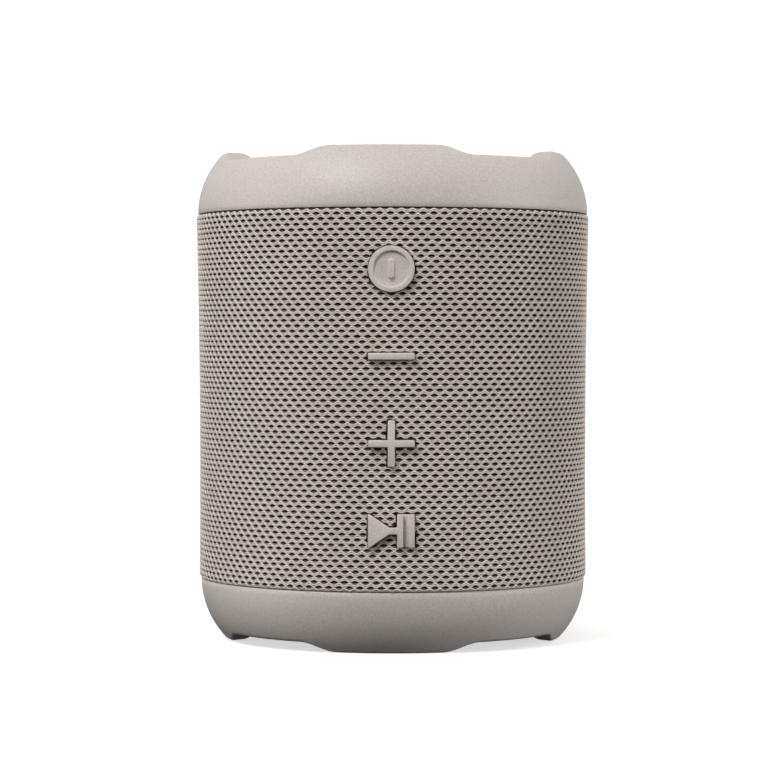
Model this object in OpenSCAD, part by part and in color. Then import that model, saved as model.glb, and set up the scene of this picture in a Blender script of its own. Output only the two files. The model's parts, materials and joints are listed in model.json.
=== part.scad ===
// A portable Bluetooth speaker that stands on end: a knit-covered barrel between
// two moulded caps, with four raised keys down its front, a driver behind the knit
// on each side, and a passive radiator in each end.
// Millimetres. +Z is up, the keys face -Y, and the origin is the middle of the base.

/* [Body] */
// Height over the lobes of both caps
height = 106; // [105:0.5:112]
// Height of each cap from its seam to the tops of its lobes
cap_height = 13.2; // [13:0.1:14]
// Radius of the top cap at its seam
top_seam_r = 42.85; // [42.6:0.05:43.2]
// Radius of the bottom cap at its seam
bottom_seam_r = 42.2; // [42.1:0.05:42.6]
// Radius of the arc that the side of each cap follows
shoulder_r = 18.7; // [18.5:0.1:20]
// Radius of the opening in each cap
lip_r = 30.8; // [30.7:0.1:31.2]

/* [Lobes] */
// Height of the lobes above the rim between them
lobe_rise = 2; // [1:0.1:2.2]
// Width of the floor between two lobes
gap_floor_w = 19.1; // [17:0.1:21]
// Width of the smooth ramp at each end of that floor
ramp_w = 7.2; // [5:0.1:8]
// Turn of the top cap about +Z, in degrees
top_turn = -3; // [-5:0.5:5]
// Turn of the bottom cap about +Z, in degrees
bottom_turn = -0.6; // [-5:0.1:5]

/* [Sleeve] */
// Radius of the knit sleeve at its waist
waist_r = 42.5; // [42.3:0.05:42.7]
// Height of the waist above the base
waist_z = 38; // [30:1:45]
// How much wider than its waist the sleeve is at the top
flare = 0.65; // [0:0.05:0.8]
// Outer radius of the rigid tube under the knit
carrier_r = 41; // [40.9:0.05:41.1]

/* [Keys] */
// Distance from one key's middle to the next
key_pitch = 18; // [17:0.5:19]
// Width of a key's symbol
key_w = 9.6; // [9:0.1:10]
// Distance from the speaker's axis to the faces of the keys
key_face = 43.7; // [43.4:0.1:44]
// Travel of a key
key_travel = 0.6; // [0.3:0.05:0.6]

/* [Drivers and radiators] */
// Diameter of a driver's flange
driver_d = 45; // [44:0.5:45]
// Radius of a passive radiator's disc
disc_r = 19.6; // [19.4:0.1:19.6]
// Radius of the magnet on a driver
magnet_r = 14; // [13:0.5:14]

/* [Battery] */
// Diameter of the cell
cell_d = 18.2; // [18:0.1:18.4]
// Length of the cell
cell_length = 65; // [60:1:66]

/* [Ports] */
// Height of the middle of the port bay above the base
port_z = 30; // [29:0.5:32]
// Width and height of the port bay
port_w = 30; // [29.5:0.1:30.5]
port_h = 11.4; // [11:0.1:12]
// Radius of the audio socket's bore
aux_r = 1.8; // [1.75:0.05:1.85]

/* [Hidden] */

$fn = 72;
round_fn = 180;   // facets of the large outer rounds
far = 60;         // past every outer surface
eps = 0.5;        // how far a cutter runs past the face it cuts

// Caps. Their heights are measured outwards from the seam.
shell = 2.2;              // thickness of the cap's shell
edge_round = 1.6;         // outer edge of a lobe
lip_round = 3;            // inner edge of a lobe
lobe_angle = 90;          // angle from one lobe to the next
plate_bottom = 1.6;       // underside of the baffle plate
plate_top = 4;            // the cap's inner wall stands here
cavity_top = 8.6;         // roof of the hollow inside the cap's shell
screw_circle_r = 35.8;    // where the end screws stand

// Screws
boss_r = 2.5;
screw_r = 1.1;            // end screws
screw_hole_r = 1.2;
end_head_r = 2.1;
end_head_h = 1.6;
small_screw_r = 0.9;      // board screws
small_hole_r = 1;
small_head_r = 1.9;
small_head_h = 1.1;
frame_screw_r = 1;        // radiator screws
frame_head_r = 1.85;
frame_head_h = 0.9;
frame_sink = 1;           // depth that their heads are sunk to

// Sleeve and its carrier
bottom_seam_z = cap_height;
top_seam_z = height - cap_height;
seam_gap = 0.15;
end_round = 1.5;          // how the knit rolls in at each seam
carrier_wall = 1.7;
carrier_gap = 0.4;        // from each end of the carrier to its cap
sound_slot_w = 2.4;
sound_slot_pitch = 4.4;   // measured along Y
sound_slots = 9;

// Inner enclosure
chamber_r = 38.6;
chamber_wall = 2.2;
side_flat = 29;           // the drivers are seated on these flats
end_flat = 30;            // the boards are fixed to these flats
gasket_t = 0.8;
chamber_low = cap_height - plate_bottom + gasket_t;
chamber_high = height - chamber_low;
flange_t = 2.4;
middle_z = height / 2;

// Keys, from the axis outwards along -Y
flange_front = 38.7;
flange_back = 37.7;
flange_w = 11.6;
switch_front = 36.1;
plunger_front = switch_front + key_travel + 0.2;
board_front = 34.4;
board_back = 32.8;
plunger_r = 1.5;
switch_bore_r = 1.6;
switch_w = 6;
switch_bore_depth = 1.3;
plunger_length = 1.4;
slot_clearance = 0.3;     // around a key where it passes the sleeve
bar_w = 1.45;             // thickness of the minus and plus bars
ring_w = 1.05;            // raised ring of the power key
recess_depth = 0.5;

// Passive radiators, in the cap's own heights
glue_h = 5.8;             // the surround is glued down at this height
frame_r = 30.4;
frame_inner_r = 24.6;
roll_r = 22;              // radius of the middle of the surround's roll
roll_outer = 2.5;
roll_t = 0.5;
roll_foot = 2.2;          // width of the surround's glued feet
disc_t = 1.2;
disc_raised_r = 17.4;
disc_raised_t = 0.8;
radiator_hole_r = 25;
plate_r = 39;
frame_screw_circle_r = 28.4;
weight_r = 9;
weight_t = 1.6;

// Drivers, measured outwards from the seat of each
seat_hole_r = 20.3;
flange_face = 2;
neck_z = -7;
magnet_front = -11.2;
magnet_back = -18.6;
former_r = 7.9;
former_end = -15;
former_t = 0.6;
pole_r = 6.9;
gap_r = 8.6;
cone_rim_r = 17.6;
driver_roll_outer = 1.3;
driver_roll_t = 0.4;
driver_roll_foot = 1.2;
dome_r = 11;
dome_t = 0.4;
dome_base_r = 7.3;

// Boards and battery
board_t = board_front - board_back;
boss_h = board_back - end_flat;
board_w = 26;
board_low = 18;
board_high = height - 18;
boss_x = 10.5;
boss_low = 21.5;
boss_high = height - 21.5;
lead_r = 0.8;
gland_r = 1;
gland_x = 8;
gland_z = 40;
battery_gland_z = 84;
cell_y = 14;
cell_low = middle_z - cell_length / 2;
cell_high = middle_z + cell_length / 2;
holder_gap = 0.2;
holder_wall = 1.5;

// Port bay, from the axis outwards along +Y
bezel_r = 42.6;
bezel_border = 3;
bezel_h_border = 2.3;
bezel_floor = 36.4;
bezel_back = 35.2;
socket_front = 38.8;
port_board_front = 32.2;
port_board_back = 30.6;
port_screw_z = port_z - 7;
usb_x = -6.5;
aux_x = 7;
usb_w = 9.4;
usb_h = 3.7;
usb_wall = 0.45;
aux_body_w = 8;
well_r = 3.4;
well_bore_r = 2.2;
well_bottom = 25.6;
well_end = 24.4;
scoop_r = 4;              // finger scoop beside the door's free end
scoop_y = 43.2;
door_t = 2;
door_gap = 0.3;
knuckle_r = door_t / 2;
pin_r = 0.5;
pin_length = port_h + 3;
hinge_x = -port_w / 2 + door_gap + knuckle_r;
hinge_r = bezel_r - door_t / 2;
hinge_y = sqrt(pow(hinge_r, 2) - pow(hinge_x, 2));

// Height of a key's middle, for key 0 at the top to key 3 at the bottom
function key_z(i) = middle_z + (1.5 - i) * key_pitch;

// Radius of the knit at a height: a gentle waist, rolled in at both ends
function inward(d) = d > end_round ? 0 : end_round - sqrt(pow(end_round, 2) - pow(end_round - d, 2));
function sleeve_r(z) = waist_r + flare * pow((z - waist_z) / (top_seam_z - waist_z), 2)
    - inward(min(z - bottom_seam_z, top_seam_z - z) - seam_gap);

// ---- Helpers ----

// An outline in X and Z, solid from y0 to y1
module along_y(y0, y1) {
    translate([0, y1, 0]) rotate([90, 0, 0]) linear_extrude(y1 - y0) children();
}

// An outline in Y and Z, solid from x0 to x1
module along_x(x0, x1) {
    translate([x0, 0, 0]) rotate([90, 0, 90]) linear_extrude(x1 - x0) children();
}

module rounded_rect(w, h, r) {
    square([w - 2 * r, h], center = true);
    square([w, h - 2 * r], center = true);
    for (x = [-1, 1], y = [-1, 1])
        translate([x * (w / 2 - r), y * (h / 2 - r)]) circle(r);
}

module ring(outer, inner) {
    difference() {
        circle(outer);
        circle(inner);
    }
}

// A lead through a list of points: a ring of corners at each point, joined by side faces
module lead(points) {
    sides = 8;
    last = len(points) - 1;
    rings = [for (i = [0 : last]) lead_ring(points, i, sides)];
    faces = [for (i = [0 : last - 1], k = [0 : sides - 1])
        [i * sides + k, i * sides + (k + 1) % sides, (i + 1) * sides + (k + 1) % sides, (i + 1) * sides + k]];
    caps = [[for (k = [sides - 1 : -1 : 0]) k], [for (k = [0 : sides - 1]) last * sides + k]];
    polyhedron([for (r = rings) each r], concat(faces, caps), convexity = 4);
}

// Corners of a lead's ring at one of its points, square to the run before and after it
function unit(v) = v / norm(v);
function run_at(points, i) =
    unit(points[min(i + 1, len(points) - 1)] - points[i] + points[i] - points[max(i - 1, 0)]);
function lead_ring(points, i, sides) =
    let (
        run = run_at(points, i),
        across = unit(cross(run, [0.3, 0.2, 1])),
        up = cross(across, run)
    )
    [for (k = [0 : sides - 1])
        points[i] + lead_r * (cos(-360 * k / sides) * across + sin(-360 * k / sides) * up)];

// Puts a piece made with its heights above the seam on the top or the bottom end
module top_end() {
    translate([0, 0, top_seam_z]) children();
}

module bottom_end() {
    translate([0, 0, bottom_seam_z]) mirror([0, 0, 1]) children();
}

module at_lobes(r) {
    for (i = [0 : 3])
        rotate(i * lobe_angle) translate([r, 0, 0]) children();
}

// Puts a driver piece, made along +Z with its seat at 0, on the side it is named after
module right_side() {
    translate([side_flat, 0, middle_z]) rotate([0, 90, 0]) children();
}

module left_side() {
    mirror([1, 0, 0]) right_side() children();
}

// ---- Caps ----

// Half section of a cap, as radius and height above the seam
module cap_section(seam_r) {
    arc_r = seam_r - shoulder_r;
    edge_h = cap_height - edge_round;
    edge_r = arc_r + sqrt(pow(shoulder_r - edge_round, 2) - pow(edge_h, 2));
    difference() {
        union() {
            intersection() {
                translate([arc_r, 0]) circle(shoulder_r, $fn = round_fn);
                polygon([[arc_r, 0], [far, 0], [arc_r + 2 * (edge_r - arc_r), 2 * edge_h]]);
            }
            translate([edge_r, edge_h]) circle(edge_round);
            translate([lip_r, 0]) square([edge_r - lip_r, cap_height]);
        }
        difference() {
            translate([lip_r - 1, cap_height - lip_round]) square([lip_round + 1, lip_round + 1]);
            translate([lip_r + lip_round, cap_height - lip_round]) circle(lip_round);
        }
        intersection() {
            translate([arc_r, 0]) circle(shoulder_r - shell, $fn = round_fn);
            translate([lip_r + shell, -eps]) square([far, cavity_top + eps]);
        }
        translate([0, -eps]) square([lip_r, cap_height]);
        translate([0, -eps]) square([lip_r + shell + eps, plate_top + eps]);
    }
}

// The space between two lobes, across the cap: a floor with a smooth ramp at each end
module gap_outline() {
    steps = 10;
    half_floor = gap_floor_w / 2;
    ramp = [for (i = [0 : steps])
        [half_floor + ramp_w * i / steps, lobe_rise * (1 - cos(180 * i / steps)) / 2]];
    for (side = [0, 1]) mirror([side, 0])
        polygon(concat([[0, 0]], ramp, [[half_floor + ramp_w, cap_height], [0, cap_height]]));
}

module cap(seam_r, turn) {
    difference() {
        union() {
            rotate_extrude($fn = round_fn) cap_section(seam_r);
            translate([0, 0, plate_top])
                at_lobes(screw_circle_r) cylinder(r = boss_r, h = cavity_top + eps - plate_top);
        }
        for (i = [0 : 3])
            rotate(turn + (i + 0.5) * lobe_angle)
                translate([0, 0, cap_height - lobe_rise]) along_x(lip_r - 4, far) gap_outline();
        translate([0, 0, plate_top - eps])
            at_lobes(screw_circle_r) cylinder(r = screw_hole_r, h = cavity_top - plate_top);
    }
}

module top_cap() {
    color("#c4bdb7") top_end() cap(top_seam_r, top_turn);
}

module bottom_cap() {
    color("#b0a9a3") bottom_end() cap(bottom_seam_r, bottom_turn);
}

// ---- Sleeve ----

// Outline of one key's symbol, grown on every side
module key_outline(i, grow) {
    bar = bar_w + 2 * grow;
    long = key_w + 2 * grow;
    if (i == 0) circle(key_w / 2 + grow);
    if (i == 1) square([long, bar], center = true);
    if (i == 2) {
        square([long, bar], center = true);
        square([bar, long], center = true);
    }
    if (i == 3) play_outline(grow);
}

// A triangle joined by a bar to a block that a groove splits in two
module play_outline(grow) {
    triangle_w = 5.4;
    triangle_h = 7.2;
    block_w = 3.6;
    block_h = 6.85;
    link_h = 1.35;
    tip = triangle_w - key_w / 2;
    slope = triangle_h / 2 / triangle_w;
    reach = grow * (1 + sqrt(1 + pow(slope, 2)) / slope);
    polygon([
        [-key_w / 2 - grow, -(triangle_h / 2 + slope * (reach + grow))],
        [tip + reach, 0],
        [-key_w / 2 - grow, triangle_h / 2 + slope * (reach + grow)]
    ]);
    square([key_w - 2, link_h + 2 * grow], center = true);
    translate([key_w / 2 - block_w / 2, 0])
        square([block_w + 2 * grow, block_h + 2 * grow], center = true);
}

module key_openings() {
    for (i = [0 : 3])
        translate([0, 0, key_z(i)]) along_y(-far, -flange_back) key_outline(i, slot_clearance);
}

module bezel_outline(grow) {
    rounded_rect(port_w + 2 * (bezel_border + grow), port_h + 2 * (bezel_h_border + grow), 3 + grow);
}

module port_opening() {
    translate([0, 0, port_z]) along_y(bezel_back, far) bezel_outline(slot_clearance);
}

module fabric_sleeve() {
    low = bottom_seam_z + seam_gap;
    high = top_seam_z - seam_gap;
    steps = 10;
    roll = [0, 0.1, 0.4, 0.8];
    heights = concat(
        [for (d = roll) low + d],
        [for (i = [0 : steps]) low + end_round + (high - low - 2 * end_round) * i / steps],
        [for (i = [3 : -1 : 0]) high - roll[i]]
    );
    color("#8f8780") difference() {
        rotate_extrude($fn = round_fn) polygon(concat(
            [[carrier_r, low]],
            [for (z = heights) [sleeve_r(z), z]],
            [[carrier_r, high]]
        ));
        key_openings();
        port_opening();
    }
}

module sleeve_carrier() {
    low = bottom_seam_z + carrier_gap;
    high = top_seam_z - carrier_gap;
    color("#3a3735") difference() {
        translate([0, 0, low]) linear_extrude(high - low)
            ring(carrier_r, carrier_r - carrier_wall, $fn = round_fn);
        key_openings();
        port_opening();
        for (i = [0 : sound_slots - 1]) {
            y = (i - (sound_slots - 1) / 2) * sound_slot_pitch;
            half = sqrt(pow(cone_rim_r + 3, 2) - pow(y, 2));
            for (side = [0, 1]) mirror([side, 0, 0])
                along_x(side_flat, far) translate([y, middle_z]) sound_slot(half);
        }
    }
}

module sound_slot(half) {
    square([sound_slot_w, 2 * half - sound_slot_w], center = true);
    for (end = [-1, 1])
        translate([0, end * (half - sound_slot_w / 2)]) circle(sound_slot_w / 2, $fn = 32);
}

// ---- Keys ----

// What every key has behind its symbol: a flange that keeps it in, and a stem
module key_base(i) {
    translate([0, 0, key_z(i)]) {
        along_y(-flange_front, -flange_back) rounded_rect(flange_w, flange_w, 1.5);
        along_y(-flange_back, -plunger_front) circle(plunger_r);
    }
}

module key_symbol(i) {
    translate([0, 0, key_z(i)]) along_y(-key_face, -flange_front) key_outline(i, 0);
}

module power_key() {
    bar_length = 4;
    recess_r = key_w / 2 - ring_w;
    color("#a8a099") {
        key_base(0);
        difference() {
            key_symbol(0);
            translate([0, 0, key_z(0)]) along_y(-key_face - eps, -key_face + recess_depth)
                difference() {
                    circle(recess_r);
                    square([ring_w, bar_length - ring_w], center = true);
                    for (end = [-1, 1])
                        translate([0, end * (bar_length - ring_w) / 2]) circle(ring_w / 2, $fn = 32);
                }
        }
    }
}

module minus_key() {
    color("#a8a099") {
        key_base(1);
        key_symbol(1);
    }
}

module plus_key() {
    color("#a8a099") {
        key_base(2);
        key_symbol(2);
    }
}

module play_key() {
    groove_w = 1.15;
    groove_x = 3;
    color("#a8a099") {
        key_base(3);
        difference() {
            key_symbol(3);
            translate([groove_x, 0, key_z(3)]) along_y(-key_face - eps, -key_face + 2 * recess_depth)
                square([groove_w, key_w], center = true);
        }
    }
}

module plunger(i) {
    color("#22211f") translate([0, 0, key_z(i)])
        along_y(-plunger_front, -plunger_front + plunger_length) circle(plunger_r);
}

module power_plunger() {
    plunger(0);
}

module minus_plunger() {
    plunger(1);
}

module plus_plunger() {
    plunger(2);
}

module play_plunger() {
    plunger(3);
}

// ---- Enclosure and ends ----

// The enclosure seen from above: a round tube with four flats
module chamber_outline(inset) {
    intersection() {
        circle(chamber_r - inset, $fn = round_fn);
        square([2 * (side_flat - inset), 2 * (end_flat - inset)], center = true);
    }
}

module inner_enclosure() {
    color("#2b2a28") difference() {
        union() {
            translate([0, 0, chamber_low]) linear_extrude(chamber_high - chamber_low) chamber_outline(0);
            translate([0, 0, chamber_low]) cylinder(r = chamber_r, h = flange_t, $fn = round_fn);
            translate([0, 0, chamber_high - flange_t]) cylinder(r = chamber_r, h = flange_t, $fn = round_fn);
            for (x = [-boss_x, boss_x], z = [boss_low, boss_high])
                translate([x, 0, z]) along_y(-board_back, -end_flat + eps) circle(boss_r);
            for (x = [-boss_x, boss_x])
                translate([x, 0, port_screw_z]) along_y(end_flat - eps, port_board_back) circle(boss_r);
        }
        difference() {
            translate([0, 0, chamber_low - eps])
                linear_extrude(chamber_high - chamber_low + 2 * eps) chamber_outline(chamber_wall);
            translate([aux_x, 0, port_z]) along_y(well_end, end_flat) circle(well_r);
        }
        translate([aux_x, 0, port_z]) along_y(well_bottom, end_flat + eps) circle(well_bore_r);
        along_x(-far, far) translate([0, middle_z]) circle(seat_hole_r);
        translate([0, 0, chamber_low - eps])
            at_lobes(screw_circle_r) cylinder(r = screw_hole_r, h = height, $fn = 32);
        for (x = [-boss_x, boss_x], z = [boss_low, boss_high])
            translate([x, 0, z]) along_y(-board_back - eps, -end_flat + 1) circle(small_hole_r, $fn = 32);
        for (x = [-boss_x, boss_x])
            translate([x, 0, port_screw_z])
                along_y(end_flat - 1, port_board_back + eps) circle(small_hole_r, $fn = 32);
        for (at = [[-gland_x, gland_z], [gland_x, gland_z], [0, battery_gland_z]])
            translate([at[0], 0, at[1]])
                along_y(-end_flat - eps, -end_flat + 2 * chamber_wall) circle(gland_r, $fn = 32);
    }
}

module baffle() {
    difference() {
        translate([0, 0, plate_bottom]) linear_extrude(plate_top - plate_bottom)
            ring(plate_r, radiator_hole_r, $fn = round_fn);
        translate([0, 0, plate_bottom - eps])
            at_lobes(screw_circle_r) cylinder(r = screw_hole_r, h = plate_top, $fn = 32);
        rotate(lobe_angle / 2) translate([0, 0, plate_bottom + eps])
            at_lobes(frame_screw_circle_r) cylinder(r = screw_r, h = plate_top, $fn = 32);
    }
}

module top_baffle() {
    color("#33312f") top_end() baffle();
}

module bottom_baffle() {
    color("#33312f") bottom_end() baffle();
}

module end_gasket() {
    translate([0, 0, plate_bottom - gasket_t]) linear_extrude(gasket_t) difference() {
        circle(chamber_r - 0.2, $fn = round_fn);
        chamber_outline(chamber_wall);
        at_lobes(screw_circle_r) circle(screw_hole_r, $fn = 32);
    }
}

module end_gaskets() {
    color("#171615") {
        top_end() end_gasket();
        bottom_end() end_gasket();
    }
}

// A screw that points up from z = 0, with its head below
module screw(r, length, head_r, head_h) {
    cylinder(r = r, h = length, $fn = 32);
    translate([0, 0, -head_h]) cylinder(r = head_r, h = head_h, $fn = 32);
}

// From under the enclosure's flange into the cap's bosses
module end_screw_set() {
    seat = plate_bottom - gasket_t - flange_t;
    length = cavity_top - seat - 1.5;
    translate([0, 0, seat]) at_lobes(screw_circle_r) screw(screw_r, length, end_head_r, end_head_h);
}

module end_screws() {
    color("#8d8f92") {
        top_end() end_screw_set();
        bottom_end() end_screw_set();
    }
}

// ---- Passive radiators ----

module radiator_frame() {
    difference() {
        translate([0, 0, plate_top]) linear_extrude(glue_h - plate_top)
            ring(frame_r, frame_inner_r, $fn = round_fn);
        rotate(lobe_angle / 2) translate([0, 0, plate_top - eps])
            at_lobes(frame_screw_circle_r) cylinder(r = screw_hole_r, h = glue_h, $fn = 32);
        rotate(lobe_angle / 2) translate([0, 0, glue_h - frame_sink])
            at_lobes(frame_screw_circle_r) cylinder(r = frame_head_r + 0.15, h = glue_h, $fn = 32);
    }
}

module top_radiator_frame() {
    color("#2a2827") top_end() radiator_frame();
}

module bottom_radiator_frame() {
    color("#2a2827") bottom_end() radiator_frame();
}

// Sunk in the frame, and held in the baffle behind it
module frame_screws() {
    length = glue_h - frame_sink - plate_bottom - eps;
    translate([0, 0, glue_h - frame_sink]) rotate(lobe_angle / 2) at_lobes(frame_screw_circle_r)
        rotate([180, 0, 0]) screw(frame_screw_r, length, frame_head_r, frame_head_h);
}

module radiator_screws() {
    color("#6f7072") {
        top_end() frame_screws();
        bottom_end() frame_screws();
    }
}

// A half roll of rubber with a flat foot on each side
module surround_ring(roll_at, outer, thick, foot) {
    rotate_extrude($fn = round_fn) {
        intersection() {
            translate([roll_at, 0]) ring(outer, outer - thick);
            translate([roll_at - outer, 0]) square([2 * outer, outer]);
        }
        translate([roll_at - outer - foot + thick, 0]) square([foot, thick]);
        translate([roll_at + outer - thick, 0]) square([foot, thick]);
    }
}

module radiator_surround() {
    translate([0, 0, glue_h]) surround_ring(roll_r, roll_outer, roll_t, roll_foot);
}

module top_surround() {
    color("#1c1b1a") top_end() radiator_surround();
}

module bottom_surround() {
    color("#1c1b1a") bottom_end() radiator_surround();
}

module radiator_disc() {
    groove_r = 12;
    translate([0, 0, glue_h - disc_t]) cylinder(r = disc_r, h = disc_t, $fn = round_fn);
    difference() {
        translate([0, 0, glue_h])
            cylinder(r1 = disc_raised_r, r2 = disc_raised_r - 0.6, h = disc_raised_t, $fn = round_fn);
        translate([0, 0, glue_h + disc_raised_t]) rotate_extrude($fn = round_fn)
            translate([groove_r, 0]) circle(0.5, $fn = 32);
    }
}

module top_disc() {
    color("#3d3a38") top_end() radiator_disc();
}

module bottom_disc() {
    color("#3d3a38") bottom_end() radiator_disc();
}

module radiator_weight() {
    translate([0, 0, glue_h - disc_t - weight_t]) cylinder(r = weight_r, h = weight_t);
}

module top_weight() {
    color("#9a9c9e") top_end() radiator_weight();
}

module bottom_weight() {
    color("#9a9c9e") bottom_end() radiator_weight();
}

// ---- Drivers ----

module basket() {
    window_w = 12;
    window_h = 6;
    flange_r = driver_d / 2;
    wall_r = seat_hole_r - 0.3;
    back_r = magnet_r + 0.4;
    floor_z = magnet_front + 1.2;
    difference() {
        rotate_extrude() polygon([
            [wall_r - 0.8, flange_face], [flange_r, flange_face], [flange_r, gasket_t],
            [wall_r, gasket_t], [wall_r, -2], [back_r, floor_z], [back_r, magnet_front],
            [gap_r, magnet_front], [gap_r, floor_z], [back_r - 1, floor_z], [wall_r - 0.8, -2]
        ]);
        for (i = [0 : 3])
            rotate((i + 0.5) * 90) translate([0, -window_w / 2, floor_z + 1]) cube([far, window_w, window_h]);
    }
}

module right_basket() {
    color("#54565a") right_side() basket();
}

module left_basket() {
    color("#54565a") left_side() basket();
}

module magnet() {
    back_t = 1.6;
    translate([0, 0, magnet_back]) {
        cylinder(r = magnet_r, h = back_t);
        cylinder(r = pole_r, h = magnet_front + 0.7 - magnet_back);
        linear_extrude(magnet_front - magnet_back) ring(magnet_r, gap_r);
    }
}

module right_magnet() {
    color("#7d7f82") right_side() magnet();
}

module left_magnet() {
    color("#7d7f82") left_side() magnet();
}

module cone() {
    rim_in_r = cone_rim_r - 1.4;
    former_in_r = former_r - former_t;
    rotate_extrude() polygon([
        [rim_in_r, flange_face], [cone_rim_r, flange_face], [cone_rim_r, flange_face - 0.5],
        [cone_rim_r - 0.7, flange_face - 0.5], [former_r, neck_z], [former_r, former_end],
        [former_in_r, former_end], [former_in_r, neck_z], [rim_in_r, flange_face - 0.4]
    ]);
}

module right_cone() {
    color("#2f3032") right_side() cone();
}

module left_cone() {
    color("#2f3032") left_side() cone();
}

module dust_cap() {
    base_h = sqrt(pow(dome_r, 2) - pow(dome_base_r, 2));
    translate([0, 0, neck_z - base_h]) difference() {
        intersection() {
            sphere(dome_r);
            translate([0, 0, base_h]) cylinder(r = dome_base_r, h = dome_r);
        }
        sphere(dome_r - dome_t);
    }
}

module right_dust_cap() {
    color("#3a3b3d") right_side() dust_cap();
}

module left_dust_cap() {
    color("#3a3b3d") left_side() dust_cap();
}

module driver_surround() {
    translate([0, 0, flange_face])
        surround_ring(cone_rim_r + driver_roll_outer - 0.1, driver_roll_outer, driver_roll_t, driver_roll_foot);
}

module right_surround() {
    color("#1c1b1a") right_side() driver_surround();
}

module left_surround() {
    color("#1c1b1a") left_side() driver_surround();
}

module driver_gasket() {
    linear_extrude(gasket_t) ring(driver_d / 2, seat_hole_r + 0.1);
}

module driver_gaskets() {
    color("#171615") {
        right_side() driver_gasket();
        left_side() driver_gasket();
    }
}

// From each magnet, forward through its gland to the back of the main board
module driver_leads() {
    color("#a03a34") for (side = [-1, 1])
        lead([
            [side * 14, -magnet_r - lead_r, middle_z],
            [side * 10, -24, 46],
            [side * gland_x, -27, gland_z],
            [side * gland_x, -board_back, gland_z]
        ]);
}

// ---- Electronics ----

module board_holes(r) {
    for (x = [-boss_x, boss_x], z = [boss_low, boss_high])
        translate([x, z]) circle(r, $fn = 32);
}

module main_board() {
    color("#1f5c3d") along_y(-board_front, -board_back) difference() {
        translate([-board_w / 2, board_low]) square([board_w, board_high - board_low]);
        board_holes(screw_hole_r);
    }
}

module tact_switches() {
    color("#cfcfca") for (i = [0 : 3])
        translate([0, 0, key_z(i)]) difference() {
            along_y(-switch_front, -board_front) square(switch_w, center = true);
            along_y(-switch_front - eps, -switch_front + switch_bore_depth) circle(switch_bore_r);
        }
}

module board_screws() {
    color("#8d8f92") {
        for (x = [-boss_x, boss_x], z = [boss_low, boss_high])
            translate([x, -board_front, z]) rotate([-90, 0, 0]) board_screw(board_t + boss_h);
        for (x = [-boss_x, boss_x])
            translate([x, port_board_front, port_screw_z]) rotate([90, 0, 0]) board_screw(board_t + 1);
    }
}

module board_screw(length) {
    screw(small_screw_r, length, small_head_r, small_head_h);
}

// A box on the back of the main board, with its middle at x and z
module on_board(x, z, size) {
    translate([x, 0, z]) along_y(-board_back, -board_back + size[1])
        square([size[0], size[2]], center = true);
}

module bluetooth_module() {
    color("#b9bbbd") on_board(0, 69, [12, 1.8, 14]);
}

module amplifier_chip() {
    color("#232323") on_board(0, 52.5, [7, 1, 7]);
}

module power_inductors() {
    color("#4c4a47") for (x = [-5.5, 5.5])
        on_board(x, 30, [6, 2.2, 6]);
}

module battery_cell() {
    terminal_r = 2.8;
    color("#3f7f7a") {
        translate([0, cell_y, cell_low]) cylinder(r = cell_d / 2, h = cell_length - 0.8);
        translate([0, cell_y, cell_high - 0.8]) cylinder(r = terminal_r, h = 0.8);
    }
}

// A half shell behind the cell, with a rib to the enclosure's rear wall
module battery_holder() {
    low = cell_low + 3;
    high = cell_high - 3;
    rib_w = 6;
    rib_low = low + 10;
    cradle_r = cell_d / 2 + holder_gap;
    shelf = 1.6;
    color("#d8d6d0") {
        difference() {
            union() {
                translate([0, cell_y, low]) cylinder(r = cradle_r + holder_wall, h = high - low);
                translate([-rib_w / 2, cell_y, rib_low])
                    cube([rib_w, end_flat - chamber_wall - cell_y, high - rib_low]);
            }
            translate([0, cell_y, low - eps]) cylinder(r = cradle_r, h = high - low + 2 * eps);
            translate([-far, -far, 0]) cube([2 * far, far + cell_y + 1, height]);
        }
        translate([0, cell_y + 1, cell_low - shelf]) battery_foot(cradle_r, low - cell_low + shelf, shelf);
    }
}

// The step that the cell stands on, joined to the half shell above it
module battery_foot(cradle_r, tall, shelf) {
    difference() {
        intersection() {
            translate([0, -1, 0]) cylinder(r = cradle_r + holder_wall, h = tall);
            translate([-far, 0, 0]) cube([2 * far, far, tall]);
        }
        translate([0, -1, shelf]) cylinder(r = cradle_r, h = tall);
    }
}

module battery_lead() {
    color("#3c3a38") lead([
        [0, cell_y, cell_high],
        [0, cell_y, cell_high + 1.2],
        [0, cell_y - 4, cell_high + 3],
        [0, -20, cell_high + 3],
        [0, -27, battery_gland_z],
        [0, -board_back, battery_gland_z]
    ]);
}

// ---- Ports ----

module port_bezel() {
    color("#3b3836") difference() {
        intersection() {
            translate([0, 0, port_z]) along_y(bezel_back, far) bezel_outline(0);
            cylinder(r = bezel_r, h = height, $fn = round_fn);
        }
        translate([0, 0, port_z]) {
            along_y(bezel_floor, far) rounded_rect(port_w, port_h, 0.6);
            translate([usb_x, 0, 0]) along_y(bezel_back - eps, far)
                square([usb_w + 0.4, usb_h + 0.4], center = true);
            translate([aux_x, 0, 0]) along_y(bezel_back - eps, far) circle(aux_body_w / 2 + 0.2);
            translate([port_w / 2 + scoop_r / 2, scoop_y, 0]) sphere(scoop_r);
        }
        translate([hinge_x, hinge_y, port_z - pin_length / 2 - eps])
            cylinder(r = pin_r + 0.02, h = pin_length + 2 * eps, $fn = 32);
    }
}

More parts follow.
